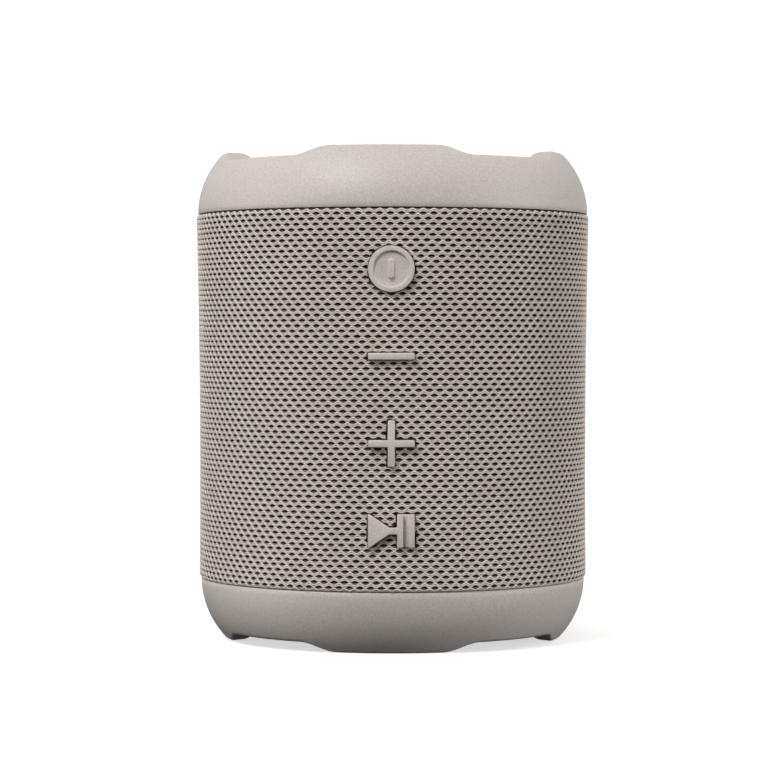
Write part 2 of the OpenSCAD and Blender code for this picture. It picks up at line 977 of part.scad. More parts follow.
// Follows the sleeve's curve, and turns on the pin at its left end
module port_door() {
    tall = port_h - 2 * door_gap;
    free_end = port_w / 2 - door_gap;
    color("#45413e") difference() {
        union() {
            intersection() {
                translate([0, 0, port_z]) along_y(bezel_back, far) door_outline(tall, free_end);
                linear_extrude(height) ring(bezel_r, bezel_r - door_t, $fn = round_fn);
            }
            translate([hinge_x, hinge_y, port_z - tall / 2]) cylinder(r = knuckle_r, h = tall);
        }
        translate([hinge_x, hinge_y, port_z - tall]) cylinder(r = pin_r + 0.05, h = 2 * tall, $fn = 32);
    }
}

module door_outline(tall, free_end) {
    corner = 1.7;
    translate([hinge_x, -tall / 2]) square([free_end - corner - hinge_x, tall]);
    translate([free_end - 2 * corner, -tall / 2 + corner]) square([2 * corner, tall - 2 * corner]);
    for (end = [-1, 1])
        translate([free_end - corner, end * (tall / 2 - corner)]) circle(corner, $fn = 32);
}

module port_door_pin() {
    color("#a9abad") translate([hinge_x, hinge_y, port_z - pin_length / 2])
        cylinder(r = pin_r, h = pin_length, $fn = 32);
}

module port_board() {
    color("#1f5c3d") along_y(port_board_back, port_board_front) difference() {
        translate([-port_w / 2, port_screw_z - boss_r]) square([port_w, 17]);
        translate([aux_x, port_z]) circle(well_bore_r);
        for (x = [-boss_x, boss_x])
            translate([x, port_screw_z]) circle(screw_hole_r, $fn = 32);
    }
}

module usb_socket() {
    tongue_w = 6.7;
    tongue_h = 0.7;
    color("#b6b8ba") translate([usb_x, 0, port_z]) difference() {
        along_y(port_board_front, socket_front) rounded_rect(usb_w, usb_h, usb_h / 2 - 0.05);
        along_y(port_board_front + 1, far) difference() {
            rounded_rect(usb_w - 2 * usb_wall, usb_h - 2 * usb_wall, usb_h / 2 - usb_wall - 0.05);
            square([tongue_w, tongue_h], center = true);
        }
    }
}

module aux_socket() {
    color("#1d1c1b") translate([aux_x, 0, port_z]) along_y(port_board_front, socket_front)
        ring(aux_body_w / 2, aux_r);
}

top_cap();
bottom_cap();
fabric_sleeve();
sleeve_carrier();
power_key();
minus_key();
plus_key();
play_key();
power_plunger();
minus_plunger();
plus_plunger();
play_plunger();
inner_enclosure();
top_baffle();
bottom_baffle();
end_gaskets();
end_screws();
top_radiator_frame();
bottom_radiator_frame();
radiator_screws();
top_surround();
bottom_surround();
top_disc();
bottom_disc();
top_weight();
bottom_weight();
left_basket();
right_basket();
left_magnet();
right_magnet();
left_cone();
right_cone();
left_dust_cap();
right_dust_cap();
left_surround();
right_surround();
driver_gaskets();
driver_leads();
main_board();
tact_switches();
board_screws();
bluetooth_module();
amplifier_chip();
power_inductors();
battery_cell();
battery_holder();
battery_lead();
port_bezel();
port_door();
port_door_pin();
port_board();
usb_socket();
aux_socket();
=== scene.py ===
"""A portable wireless speaker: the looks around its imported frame.

Laid out as an add-on. Each operator makes one piece or a group of like pieces,
the panel lists them in order, and main() runs them all. Metres throughout.
"""

import json
import math
from contextlib import contextmanager

import bmesh
import bpy
import numpy as np
from bpy.props import FloatProperty, FloatVectorProperty, IntProperty, PointerProperty
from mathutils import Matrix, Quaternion, Vector

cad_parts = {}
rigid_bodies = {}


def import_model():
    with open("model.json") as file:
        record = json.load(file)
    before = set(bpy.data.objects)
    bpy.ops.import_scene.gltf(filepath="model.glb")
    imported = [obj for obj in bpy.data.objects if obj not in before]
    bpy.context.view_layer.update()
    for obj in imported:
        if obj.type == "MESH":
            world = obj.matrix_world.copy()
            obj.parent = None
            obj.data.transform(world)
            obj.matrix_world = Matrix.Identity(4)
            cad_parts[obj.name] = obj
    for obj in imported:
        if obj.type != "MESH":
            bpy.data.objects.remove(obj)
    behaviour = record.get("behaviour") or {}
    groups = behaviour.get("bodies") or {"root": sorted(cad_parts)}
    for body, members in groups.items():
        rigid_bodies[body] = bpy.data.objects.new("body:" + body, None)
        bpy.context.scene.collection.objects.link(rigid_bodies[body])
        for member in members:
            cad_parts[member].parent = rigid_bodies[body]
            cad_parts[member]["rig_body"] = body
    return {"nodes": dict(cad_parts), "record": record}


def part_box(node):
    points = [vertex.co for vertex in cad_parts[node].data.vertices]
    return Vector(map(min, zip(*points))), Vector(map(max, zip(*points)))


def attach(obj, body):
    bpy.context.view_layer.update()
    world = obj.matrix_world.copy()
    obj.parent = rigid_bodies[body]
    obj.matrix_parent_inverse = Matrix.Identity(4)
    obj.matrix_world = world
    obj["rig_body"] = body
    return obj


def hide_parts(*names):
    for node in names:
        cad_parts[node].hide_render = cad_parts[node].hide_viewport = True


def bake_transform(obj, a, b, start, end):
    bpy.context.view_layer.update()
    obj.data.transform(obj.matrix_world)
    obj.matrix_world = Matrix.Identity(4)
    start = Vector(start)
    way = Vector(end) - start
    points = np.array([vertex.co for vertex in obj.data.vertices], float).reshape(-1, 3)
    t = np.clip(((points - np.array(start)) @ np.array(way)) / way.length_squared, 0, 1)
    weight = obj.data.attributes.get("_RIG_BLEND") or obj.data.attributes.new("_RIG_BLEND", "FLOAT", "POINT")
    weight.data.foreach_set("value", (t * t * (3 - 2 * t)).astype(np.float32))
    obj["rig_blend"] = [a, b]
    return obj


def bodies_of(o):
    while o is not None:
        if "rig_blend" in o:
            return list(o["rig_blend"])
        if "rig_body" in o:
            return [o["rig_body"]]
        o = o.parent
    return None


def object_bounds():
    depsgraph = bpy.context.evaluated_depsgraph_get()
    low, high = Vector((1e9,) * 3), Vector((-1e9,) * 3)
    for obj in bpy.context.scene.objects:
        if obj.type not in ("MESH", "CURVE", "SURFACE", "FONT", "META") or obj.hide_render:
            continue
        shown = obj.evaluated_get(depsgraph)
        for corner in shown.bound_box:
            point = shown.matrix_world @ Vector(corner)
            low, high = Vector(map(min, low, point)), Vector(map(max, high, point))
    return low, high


bl_info = {
    "name": "Portable Speaker",
    "version": (1, 0, 0),
    "blender": (4, 5, 0),
    "location": "View3D > Sidebar > Speaker",
    "description": "Builds the visible pieces of a knit-covered portable speaker",
    "category": "Object",
}

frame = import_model()
CAD_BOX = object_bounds()
MM = 0.001
HEIGHT = CAD_BOX[1].z
SLOT_OF = {part["node"]: part["material_slot"] for part in frame["record"]["subparts"]}
MADE = {}  # every slot's material, once finishes() has made it


# ---- What a user would change ----


def length(name, description, default):
    """A length in metres."""
    return FloatProperty(
        name=name,
        description=description,
        default=default,
        min=0,
        max=1,
        unit="LENGTH",
        precision=5,
    )


def colour(name, description, default):
    """A linear colour."""
    return FloatVectorProperty(
        name=name,
        description=description,
        default=default,
        min=0,
        max=1,
        size=3,
        subtype="COLOR",
    )


class SpeakerSizes(bpy.types.PropertyGroup):
    """Sizes of the caps, the knit, the keys and the surrounds."""

    top_seam_radius: length("Top seam", "Radius of the top cap at its seam", 0.04285)
    bottom_seam_radius: length(
        "Bottom seam", "Radius of the bottom cap at its seam", 0.0422
    )
    cap_height: length("Cap height", "From a cap's seam to the tops of its lobes", 0.0132)
    shoulder_radius: length(
        "Shoulder", "Radius of the arc that a cap's side follows", 0.0187
    )
    lip_radius: length("Lip", "Radius of the opening in a cap", 0.0308)
    lobe_rise: length("Lobe rise", "Height of the lobes above the rim", 0.002)
    gap_floor: length("Gap floor", "Width of the floor between two lobes", 0.0191)
    gap_ramp: length("Gap ramp", "Width of the ramp at each end of the floor", 0.0072)
    edge_round: length("Edge round", "Radius of a lobe's outer edge", 0.0016)
    lip_round: length("Lip round", "Radius of a lobe's inner edge", 0.003)
    top_turn: FloatProperty(
        name="Top turn",
        description="Turn of the top cap's lobes",
        default=math.radians(-3),
        subtype="ANGLE",
    )
    bottom_turn: FloatProperty(
        name="Bottom turn",
        description="Turn of the bottom cap's lobes",
        default=math.radians(-0.6),
        subtype="ANGLE",
    )
    cap_stations: IntProperty(
        name="Cap steps", description="Steps round a cap", default=360, min=90, max=720
    )
    waist_radius: length("Waist", "Radius of the knit at its waist", 0.0425)
    waist_height: length("Waist height", "Height of the waist above the base", 0.038)
    flare: length("Flare", "How much wider the knit is at the top", 0.00065)
    seam_tuck: length("Tuck", "How far the knit rolls in at each seam", 0.0009)
    columns: IntProperty(
        name="Columns", description="Stitches round the barrel", default=120, min=8
    )
    courses: IntProperty(
        name="Courses", description="Stitches up the barrel", default=36, min=4
    )
    knit_pieces: IntProperty(
        name="Knit pieces", description="Pieces the knit is made in", default=8, min=4
    )
    knit_lean: FloatProperty(
        name="Lean",
        description="How far a column leans round the barrel for each metre up",
        default=0.053,
    )
    key_width: length("Key width", "Width of a key's symbol", 0.0096)
    key_bar: length("Key bar", "Thickness of the minus and plus bars", 0.00145)
    knit_margin: length("Knit margin", "Gap between a key and the cut knit", 0.00006)


class SpeakerColours(bpy.types.PropertyGroup):
    """Colours of the finishes that show most."""

    cap: colour("Caps", "Soft-touch plastic of both caps", (0.50, 0.455, 0.42))
    key: colour("Keys", "Plastic of the keys", (0.55, 0.50, 0.462))
    yarn: colour("Yarn", "Lit side of the yarn", (0.76, 0.685, 0.625))
    # The second yarn colour is painted shade, put where a yarn dips into the cloth
    yarn_painted_shade: colour("Yarn, deep", "Yarn where it dips into the cloth", (0.17, 0.142, 0.125))
    backing: colour("Backing", "Dark cloth behind the knit", (0.022, 0.017, 0.014))
    port: colour("Port cover", "Rubber of the port door", (0.40, 0.36, 0.33))


def sizes():
    return bpy.context.scene.speaker_sizes


def colours():
    return bpy.context.scene.speaker_colours


# ---- Shader maths ----


class Field:
    """A value that varies over a surface, with the arithmetic that finishes use."""

    def __init__(self, finish, socket):
        self.finish, self.socket = finish, socket

    def _math(self, operation, *values):
        return self.finish.node(
            "ShaderNodeMath", {"operation": operation}, dict(enumerate(values))
        )

    def __add__(self, other):
        return self._math("ADD", self, other)

    def __sub__(self, other):
        return self._math("SUBTRACT", self, other)

    def __rsub__(self, other):
        return self._math("SUBTRACT", other, self)

    def __mul__(self, other):
        return self._math("MULTIPLY", self, other)

    def __pow__(self, other):
        return self._math("POWER", self, other)

    __radd__ = __add__
    __rmul__ = __mul__

    def wave(self):
        """Sine of the value."""
        return self._math("SINE", self)

    def step(self, low, high, start=0, end=1):
        """Start below low, end above high, and smooth between them."""
        return self.finish.node(
            "ShaderNodeMapRange",
            {"interpolation_type": "SMOOTHSTEP"},
            {
                "Value": self,
                "From Min": low,
                "From Max": high,
                "To Min": start,
                "To Max": end,
            },
            "Result",
        )


class Finish:
    """A material or the world, and its nodes."""

    def __init__(self, name, kind="materials", surface="Principled BSDF"):
        self.material = getattr(bpy.data, kind).new(name)
        self.material.use_nodes = True
        self.tree = self.material.node_tree
        self.surface = self.tree.nodes[surface]

    def node(self, kind, settings=None, values=None, output=0):
        """Adds a node: its settings first, then the values or links of its sockets."""
        made = self.tree.nodes.new(kind)
        for name, setting in (settings or {}).items():
            setattr(made, name, setting)
        for name, value in (values or {}).items():
            self.feed(made.inputs[name], value)
        return Field(self, made.outputs[output])

    def feed(self, socket, value):
        if isinstance(value, Field):
            self.tree.links.new(value.socket, socket)
        elif isinstance(value, (tuple, list)) and socket.type == "RGBA":
            socket.default_value = (*value, 1)
        else:
            socket.default_value = value

    def place(self):
        return self.node("ShaderNodeTexCoord", output="Object")

    def axes(self):
        """The three object coordinates, each as a number."""
        first = self.node("ShaderNodeSeparateXYZ", {}, {0: self.place()})
        return [Field(self, socket) for socket in first.socket.node.outputs]

    def noise(self, scale, detail=3.0, roughness=0.55, at=None):
        return self.node(
            "ShaderNodeTexNoise",
            {"noise_dimensions": "3D"},
            {
                "Vector": at or self.place(),
                "Scale": scale,
                "Detail": detail,
                "Roughness": roughness,
            },
            "Fac",
        )

    def cells(self, scale):
        return self.node(
            "ShaderNodeTexVoronoi",
            {"feature": "F1"},
            {"Vector": self.place(), "Scale": scale},
            "Distance",
        )

    def mix(self, share, first, second):
        """From the first colour at 0 to the second at 1."""
        return self.node(
            "ShaderNodeMix", {"data_type": "RGBA"}, {0: share, 6: first, 7: second}, 2
        )

    def scaled(self, at, amounts):
        """A place with each of its axes stretched."""
        return self.node(
            "ShaderNodeVectorMath", {"operation": "MULTIPLY"}, {0: at, 1: amounts}
        )

    def relief(self, height, strength, depth):
        self.feed(
            self.surface.inputs["Normal"],
            self.node(
                "ShaderNodeBump",
                {},
                {"Height": height, "Strength": strength, "Distance": depth},
            ),
        )

    def set(self, **values):
        """Sets the shader's sockets: Base_Color for Base Color, and so on."""
        for name, value in values.items():
            self.feed(self.surface.inputs[name.replace("_", " ")], value)
        return self


def shade(rgb, by):
    """A colour made lighter or darker."""
    return tuple(min(1.0, c * by) for c in rgb)


def moulded(name, rgb, roughness=0.5, grain=2600, depth=2e-5, clouds=0.05):
    """Moulded plastic or rubber: a fine spark-eroded grain and faint clouding."""
    finish = Finish(name)
    cloud = finish.noise(60, 4)
    fine = finish.noise(grain, 3, 0.65)
    pores = finish.cells(grain * 0.7)
    base = finish.mix(cloud, shade(rgb, 1 - clouds), shade(rgb, 1 + clouds))
    speck = finish.mix(fine.step(0.36, 0.64), shade(rgb, 0.82), shade(rgb, 1.16))
    finish.set(
        Base_Color=finish.mix(0.5, base, speck),
        Roughness=(cloud - 0.5) * 0.12 + (fine - 0.5) * 0.12 + roughness,
        IOR=1.46,
    )
    finish.relief(fine + pores * 0.6, 0.8, depth)
    return finish.material


def metal(name, rgb, roughness=0.35, brushed=(1, 1, 14), metallic=1.0):
    """Plated or painted sheet metal, with drawn marks along one axis."""
    finish = Finish(name)
    marks = finish.noise(420, 4, 0.6, finish.scaled(finish.place(), brushed))
    stain = finish.noise(90, 3)
    finish.set(
        Base_Color=finish.mix(stain, shade(rgb, 0.86), shade(rgb, 1.08)),
        Metallic=metallic,
        Roughness=(marks - 0.5) * 0.25 + (stain - 0.5) * 0.1 + roughness,
    )
    finish.relief(marks, 0.35, 1.5e-5)
    return finish.material


def knit_yarn():
    """Spun polyester with fibres, with painted shade: the lit yarn colour where a yarn stands out, darkening
    to a painted shade colour where it dips into the cloth.
    """
    finish = Finish("knit_yarn")
    painted_light_share = finish.node("ShaderNodeAttribute", {"attribute_name": "painted_light_share"}, {}, "Fac")
    tone = finish.noise(900, 2)
    drift = finish.noise(45, 3)
    fibre = finish.noise(5200, 3, 0.7, finish.scaled(finish.place(), (1, 1, 2.4)))
    lit = finish.mix(
        tone * 0.6 + drift * 0.4, shade(colours().yarn, 0.84), shade(colours().yarn, 1.12)
    )
    # Base colour has painted shade: the lit yarn colour where a yarn stands out, the dark shade colour where
    # it dips
    finish.set(
        Base_Color=finish.mix(painted_light_share.step(0, 1), tuple(colours().yarn_painted_shade), lit),
        Roughness=(fibre - 0.5) * 0.2 + 0.78,
        IOR=1.4,
    )
    finish.relief(fibre + tone * 0.6, 0.9, 6e-5)
    return finish.material


def knit_backing():
    """The dark spacer cloth behind the open stitches."""
    finish = Finish("knit_backing")
    weave = finish.cells(1400)
    finish.set(
        Base_Color=finish.mix(
            weave, shade(colours().backing, 0.7), shade(colours().backing, 1.6)
        ),
        Roughness=weave * 0.1 + 0.85,
    )
    finish.relief(weave, 0.7, 1e-4)
    return finish.material


def turned(name, rgb):
    """A radiator's disc: moulded, with faint rings from the turned mould."""
    finish = Finish(name)
    x, y, _ = finish.axes()
    radius = (x * x + y * y) ** 0.5
    rings = (radius * 9000).wave()
    fine = finish.noise(2400, 3)
    finish.set(
        Base_Color=finish.mix(fine, shade(rgb, 0.82), shade(rgb, 1.15)),
        Roughness=rings * 0.03 + (fine - 0.5) * 0.15 + 0.42,
    )
    finish.relief(rings * 0.4 + fine, 0.4, 2e-5)
    return finish.material


def pulp(name, rgb):
    """Pressed paper pulp for a driver's cone, with long fibres."""
    finish = Finish(name)
    fibres = finish.noise(700, 6, 0.7, finish.scaled(finish.place(), (3, 0.6, 1)))
    fleck = finish.noise(2600, 2)
    finish.set(
        Base_Color=finish.mix(fibres.step(0.35, 0.7), shade(rgb, 0.7), shade(rgb, 1.5)),
        Roughness=fleck * 0.2 + 0.72,
    )
    finish.relief(fibres + fleck * 0.5, 0.8, 5e-5)
    return finish.material


def board(name, rgb):
    """Solder mask over copper tracks, with tinned pads."""
    finish = Finish(name)
    x, y, z = finish.axes()
    across = ((x * 2600).wave() * (z * 900).wave()).step(0.25, 0.4)
    along = ((z * 2600).wave() * (x * 1100).wave()).step(0.3, 0.45)
    tracks = across + along
    pads = 1 - finish.cells(380).step(0.12, 0.16)
    mask = finish.mix(tracks.step(0.1, 0.9), shade(rgb, 0.8), shade(rgb, 1.7))
    finish.set(
        Base_Color=finish.mix(pads, mask, (0.72, 0.70, 0.62)),
        Metallic=pads * 0.9,
        Roughness=finish.noise(500) * 0.2 + 0.25,
    )
    finish.relief(tracks * 0.5 + pads, 0.4, 3e-5)
    return finish.material


def foam(name, rgb):
    """Closed-cell foam with open pores on its cut faces."""
    finish = Finish(name)
    pores = finish.cells(2600)
    finish.set(
        Base_Color=finish.mix(pores.step(0.1, 0.5), shade(rgb, 0.5), shade(rgb, 1.6)),
        Roughness=pores * 0.1 + 0.86,
    )
    finish.relief(pores, 0.9, 8e-5)
    return finish.material


def wrapped(name, rgb):
    """Heat-shrunk film round the cell, with faint ripples and a clearer gloss."""
    finish = Finish(name)
    ripple = finish.noise(160, 4, 0.6, finish.scaled(finish.place(), (1, 1, 4)))
    finish.set(
        Base_Color=finish.mix(ripple, shade(rgb, 0.8), shade(rgb, 1.15)),
        Roughness=(ripple - 0.5) * 0.2 + 0.3,
    )
    finish.relief(ripple, 0.5, 8e-5)
    return finish.material


def finishes():
    """Every slot's material, made once."""
    if not MADE:
        cap, key, port = colours().cap, colours().key, colours().port
        MADE.update(
            cap_plastic=moulded("cap_soft_touch", cap, 0.5, 2600, 2e-5, 0.02),
            key_plastic=moulded("key_satin", key, 0.4, 3200, 1.2e-5, 0.02),
            knit_fabric=knit_yarn(),
            backing=knit_backing(),
            bezel_plastic=moulded("bezel_grain", shade(port, 0.8), 0.52, 1900, 3e-5),
            door_rubber=moulded("door_rubber", port, 0.6, 1500, 3e-5),
            black_plastic=moulded("black_plastic", (0.028, 0.027, 0.026), 0.48, 1500, 4e-5),
            holder_plastic=moulded("holder_plastic", (0.045, 0.045, 0.048), 0.5, 1200, 4e-5),
            rubber=moulded("surround_rubber", (0.016, 0.0155, 0.015), 0.42, 1400, 3e-5),
            foam=foam("gasket_foam", (0.02, 0.02, 0.02)),
            disc_plastic=turned("radiator_disc", (0.05, 0.046, 0.043)),
            cone_paper=pulp("cone_pulp", (0.03, 0.03, 0.031)),
            steel=metal("zinc_plate", (0.62, 0.62, 0.60), 0.34),
            black_steel=metal("black_oxide", (0.05, 0.05, 0.052), 0.42),
            basket_steel=metal("painted_steel", (0.09, 0.092, 0.098), 0.5, metallic=0.6),
            magnet=metal("magnet_plate", (0.45, 0.45, 0.44), 0.4),
            ferrite=moulded("ferrite", (0.05, 0.05, 0.052), 0.6, 1100, 6e-5),
            circuit_board=board("solder_mask", (0.012, 0.07, 0.035)),
            cell_wrap=wrapped("cell_wrap", (0.05, 0.25, 0.22)),
            lead_insulation=moulded("lead_insulation", (0.28, 0.03, 0.025), 0.38, 1800, 1e-5),
        )
    return MADE


# ---- Modelling by hand ----

DOUBLE = 2e-6  # corners nearer than this are one


def deselect():
    bpy.ops.object.select_all(action="DESELECT")


def take(*objects):
    """Selects objects, the last of them active."""
    deselect()
    for obj in objects:
        obj.select_set(True)
    bpy.context.view_layer.objects.active = objects[-1]


@contextmanager
def editing(obj):
    """Edit mode on one object, all of it selected."""
    take(obj)
    bpy.ops.object.mode_set(mode="EDIT")
    bpy.ops.mesh.select_all(action="SELECT")
    yield
    bpy.ops.object.mode_set(mode="OBJECT")


def pick(obj, test):
    """In edit mode, selects the corners that pass a test."""
    bpy.ops.mesh.select_mode(type="VERT")
    bpy.ops.mesh.select_all(action="DESELECT")
    mesh = bmesh.from_edit_mesh(obj.data)
    for corner in mesh.verts:
        if test(corner):
            corner.select_set(True)
    mesh.select_flush_mode()
    bmesh.update_edit_mesh(obj.data)


def outline(points, filled=False):
    """A closed outline through points."""
    deselect()
    bpy.ops.mesh.primitive_circle_add(
        vertices=len(points), radius=0.01, fill_type="NGON" if filled else "NOTHING"
    )
    obj = bpy.context.object
    for corner, point in zip(obj.data.vertices, points):
        corner.co = point
    return obj


def lathe(points, steps, angle=math.tau, axis=(0, 0, 1), centre=(0, 0, 0)):
    """A closed section turned about an axis, closed at its ends if it stops short."""
    obj = outline(points, filled=angle < math.tau)
    with editing(obj):
        bpy.ops.mesh.spin(steps=steps, angle=angle, axis=axis, center=centre)
        tidy_faces()
    return obj


def tidy_faces():
    """In edit mode, merges doubles and turns every face outwards."""
    bpy.ops.mesh.select_all(action="SELECT")
    bpy.ops.mesh.remove_doubles(threshold=DOUBLE)
    bpy.ops.mesh.normals_make_consistent(inside=False)


def apply_modifier(obj, kind, **settings):
    take(obj)
    made = obj.modifiers.new(kind.lower(), kind)
    for name, value in settings.items():
        setattr(made, name, value)
    bpy.ops.object.modifier_apply(modifier=made.name)


def settle(obj, name, slot, body=None, material=None, smooth=math.radians(35)):
    """Names a finished piece, gives it its finish, and puts it on its body."""
    take(obj)
    bpy.ops.object.transform_apply(location=True, rotation=True, scale=True)
    bpy.ops.object.shade_smooth_by_angle(angle=smooth)
    obj.name = obj.data.name = name
    obj.data.materials.clear()
    obj.data.materials.append(material or finishes()[slot])
    if body:
        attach(obj, body)


def merged_copy(node):
    """A copy of a CAD node with its loose triangles merged and its flats made whole."""
    source = frame["nodes"][node]
    obj = bpy.data.objects.new(node + "_copy", source.data.copy())
    bpy.context.scene.collection.objects.link(obj)
    with editing(obj):
        bpy.ops.mesh.remove_doubles(threshold=DOUBLE)
        bpy.ops.mesh.dissolve_limited(angle_limit=math.radians(1))
    return obj


def body_of(node):
    """The body that a CAD node rides on."""
    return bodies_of(frame["nodes"][node])[0]


# ---- Caps ----

CAP_SHELL = 2.2 * MM  # wall of the lip and the shoulder
CAP_PLATE = 4 * MM  # height of the shelf that holds the radiator's frame
CAP_ROOF = 8.6 * MM  # height of the hollow under the rim
SEAM_ROUND = ((0.55 * MM, 0), (0.16 * MM, 0.05 * MM))  # inset and height at the seam
SEAM_TOP = 0.35 * MM  # height where the shoulder's arc begins
SHELF_ROUND = 0.2 * MM


def cap_section(seam_radius, rim):
    """Half section of a cap whose rim stands at a height, as (radius, height) pairs."""
    s = sizes()
    arc_r = seam_radius - s.shoulder_radius
    edge_h = rim - s.edge_round
    edge_r = arc_r + math.sqrt((s.shoulder_radius - s.edge_round) ** 2 - edge_h**2)
    tangent = math.atan2(edge_h, edge_r - arc_r)
    foot = math.asin(SEAM_TOP / s.shoulder_radius)
    flat_r = s.lip_radius + s.lip_round

    points = [(seam_radius - inset, height) for inset, height in SEAM_ROUND]
    for i in range(15):
        angle = foot + (tangent - foot) * i / 14
        points.append(
            (arc_r + s.shoulder_radius * math.cos(angle), s.shoulder_radius * math.sin(angle))
        )
    for i in range(1, 8):
        angle = tangent + (math.pi / 2 - tangent) * i / 7
        points.append(
            (edge_r + s.edge_round * math.cos(angle), edge_h + s.edge_round * math.sin(angle))
        )
    points.append(((edge_r + flat_r) / 2, rim))
    for i in range(9):
        angle = math.pi / 2 * (1 + i / 8)
        points.append(
            (flat_r + s.lip_round * math.cos(angle), rim - s.lip_round * (1 - math.sin(angle)))
        )
    points.append((s.lip_radius, CAP_PLATE + SHELF_ROUND))
    points.append((s.lip_radius + SHELF_ROUND, CAP_PLATE))
    points.append((s.lip_radius + CAP_SHELL, CAP_PLATE))
    points.append((s.lip_radius + CAP_SHELL, CAP_ROOF))
    inner = s.shoulder_radius - CAP_SHELL
    high = math.asin(CAP_ROOF / inner)
    for i in range(5):
        angle = high * (1 - i / 4)
        points.append((arc_r + inner * math.cos(angle), inner * math.sin(angle)))
    return points


def cap_ring(seam_radius, rim, seam_z, way):
    """A cap with its rim at one height all the way round."""
    points = [
        (radius, 0, seam_z + way * height)
        for radius, height in cap_section(seam_radius, rim)
    ]
    return lathe(points, sizes().cap_stations)


def in_gap(place, turn):
    """1 on the floor between two lobes, 0 on a lobe, and smooth over the ramps."""
    s = sizes()
    quarter = math.pi / 2
    angle = (math.atan2(place.y, place.x) - turn) % quarter - quarter / 2
    across = abs(math.hypot(place.x, place.y) * math.sin(angle))
    share = min(1, max(0, (across - s.gap_floor / 2) / s.gap_ramp))
    return (1 + math.cos(math.pi * share)) / 2


class SPEAKER_OT_caps(bpy.types.Operator):
    """Turn both caps and sink the gaps between their lobes"""

    bl_idname = "speaker.caps"
    bl_label = "Caps"

    def execute(self, context):
        s = sizes()
        ends = (
            ("top_cap", s.top_seam_radius, HEIGHT - s.cap_height, 1, s.top_turn),
            ("bottom_cap", s.bottom_seam_radius, s.cap_height, -1, s.bottom_turn),
        )
        for node, seam_radius, seam_z, way, turn in ends:
            full = cap_ring(seam_radius, s.cap_height, seam_z, way)
            low = cap_ring(seam_radius, s.cap_height - s.lobe_rise, seam_z, way)
            take(low, full)
            bpy.ops.object.join_shapes()
            gaps = full.vertex_groups.new(name="gaps")
            for corner in full.data.vertices:
                gaps.add([corner.index], in_gap(corner.co, turn), "REPLACE")
            key = full.data.shape_keys.key_blocks[-1]
            key.vertex_group, key.value = "gaps", 1.0
            full.active_shape_key_index = len(full.data.shape_keys.key_blocks) - 1
            take(full)
            bpy.ops.object.shape_key_remove(all=True, apply_mix=True)
            bpy.data.objects.remove(low)
            settle(full, node + "_shell", "cap_plastic", "housing")
            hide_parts(node)
        return {"FINISHED"}


# ---- Knit ----

# One stitch has four arched yarns in two rows, and two straight ones deep behind them.
# Each has, in mm: its mean drop below the stitch's top, how far it swings up and down,
# how much lower it runs on its slopes, its depth, its half thickness, and the number of
# steps that it is drawn out in.
YARNS = (
    (0.58, 0.25, 0.05, 0.13, 0.170, 6),
    (1.00, 0.23, -0.05, 0.17, 0.170, 6),
    (0.50, 0.0, 0.0, 0.48, 0.17, 3),
    (1.69, -0.25, 0.05, 0.13, 0.170, 6),
    (2.09, -0.22, -0.05, 0.17, 0.165, 6),
    (1.58, 0.0, 0.0, 0.40, 0.16, 3),
)
COURSE = 2.203  # height of the stitch that those drops are measured in, in mm
PAINTED_SHADE_DEPTHS = (-0.04 * MM, 0.36 * MM)  # depths at which a yarn takes no painted shade and full painted shade
BACKING_CORE = 41.2 * MM  # the backing's inner wall is inside this and stays
BACKING_SHRINK = 0.9765  # draws its outer wall in behind the yarns

# The play key's symbol, in its own plane
PLAY_HALF = 3.6 * MM  # half the triangle's height
PLAY_LONG = 5.4 * MM  # from the triangle's foot to its point
PLAY_LINK = (3.8 * MM, 0.8 * MM)  # half width and half height of the link
PAUSE_BLOCK = (3 * MM, 1.8 * MM, 3.425 * MM)  # middle, half width, half height
PORT_CORNER = 3 * MM


def knit_radius(z):
    """Radius of the knit's outside at a height."""
    s = sizes()
    low, high = s.cap_height, HEIGHT - s.cap_height
    rise = (z - s.waist_height) / (high - s.waist_height)
    near = np.clip(np.minimum(z - low, high - z), 0, s.seam_tuck)
    tuck = s.seam_tuck - np.sqrt(np.maximum(s.seam_tuck**2 - (s.seam_tuck - near) ** 2, 0))
    return s.waist_radius + s.flare * rise**2 - tuck


def one_stitch(width, height):
    """All the yarns across one stitch, each a square tube drawn out step by step."""
    scale = height / (COURSE * MM)
    yarns = []
    for drop, swing, pinch, depth, half, steps in YARNS:

        def centre(i):
            turn = math.tau * i / steps
            sink = pinch * (1 - math.cos(2 * turn)) / 2
            return -scale * (drop + swing * math.cos(turn) + sink)

        def slant(i):
            turn = math.tau * i / steps
            rise = swing * math.sin(turn) - pinch * math.sin(2 * turn)
            return math.hypot(1, rise * math.tau * scale * MM / width)

        deselect()
        bpy.ops.mesh.primitive_circle_add(
            vertices=4,
            radius=half * MM,
            location=(0, depth * MM, centre(0) * MM),
            rotation=(0, math.pi / 2, 0),
        )
        obj = bpy.context.object
        bpy.ops.object.transform_apply(location=True, rotation=True, scale=True)
        with editing(obj):
            for i in range(1, steps + 1):
                rise = (centre(i) - centre(i - 1)) * MM
                bpy.ops.mesh.extrude_region_move(
                    TRANSFORM_OT_translate={"value": (width / steps, 0, rise)}
                )
                middle = (width * i / steps, depth * MM, centre(i) * MM)
                bpy.ops.transform.resize(
                    value=(1, 1, slant(i) / slant(i - 1)), center_override=middle
                )
            bpy.ops.mesh.select_all(action="SELECT")
            bpy.ops.mesh.normals_make_consistent(inside=False)
        yarns.append(obj)
    take(*yarns)
    bpy.ops.object.join()
    return bpy.context.object


def corners(obj):
    """The places of a mesh's corners, one a row."""
    flat = np.empty(len(obj.data.vertices) * 3, np.float32)
    obj.data.vertices.foreach_get("co", flat)
    return flat.reshape(-1, 3).astype(float)


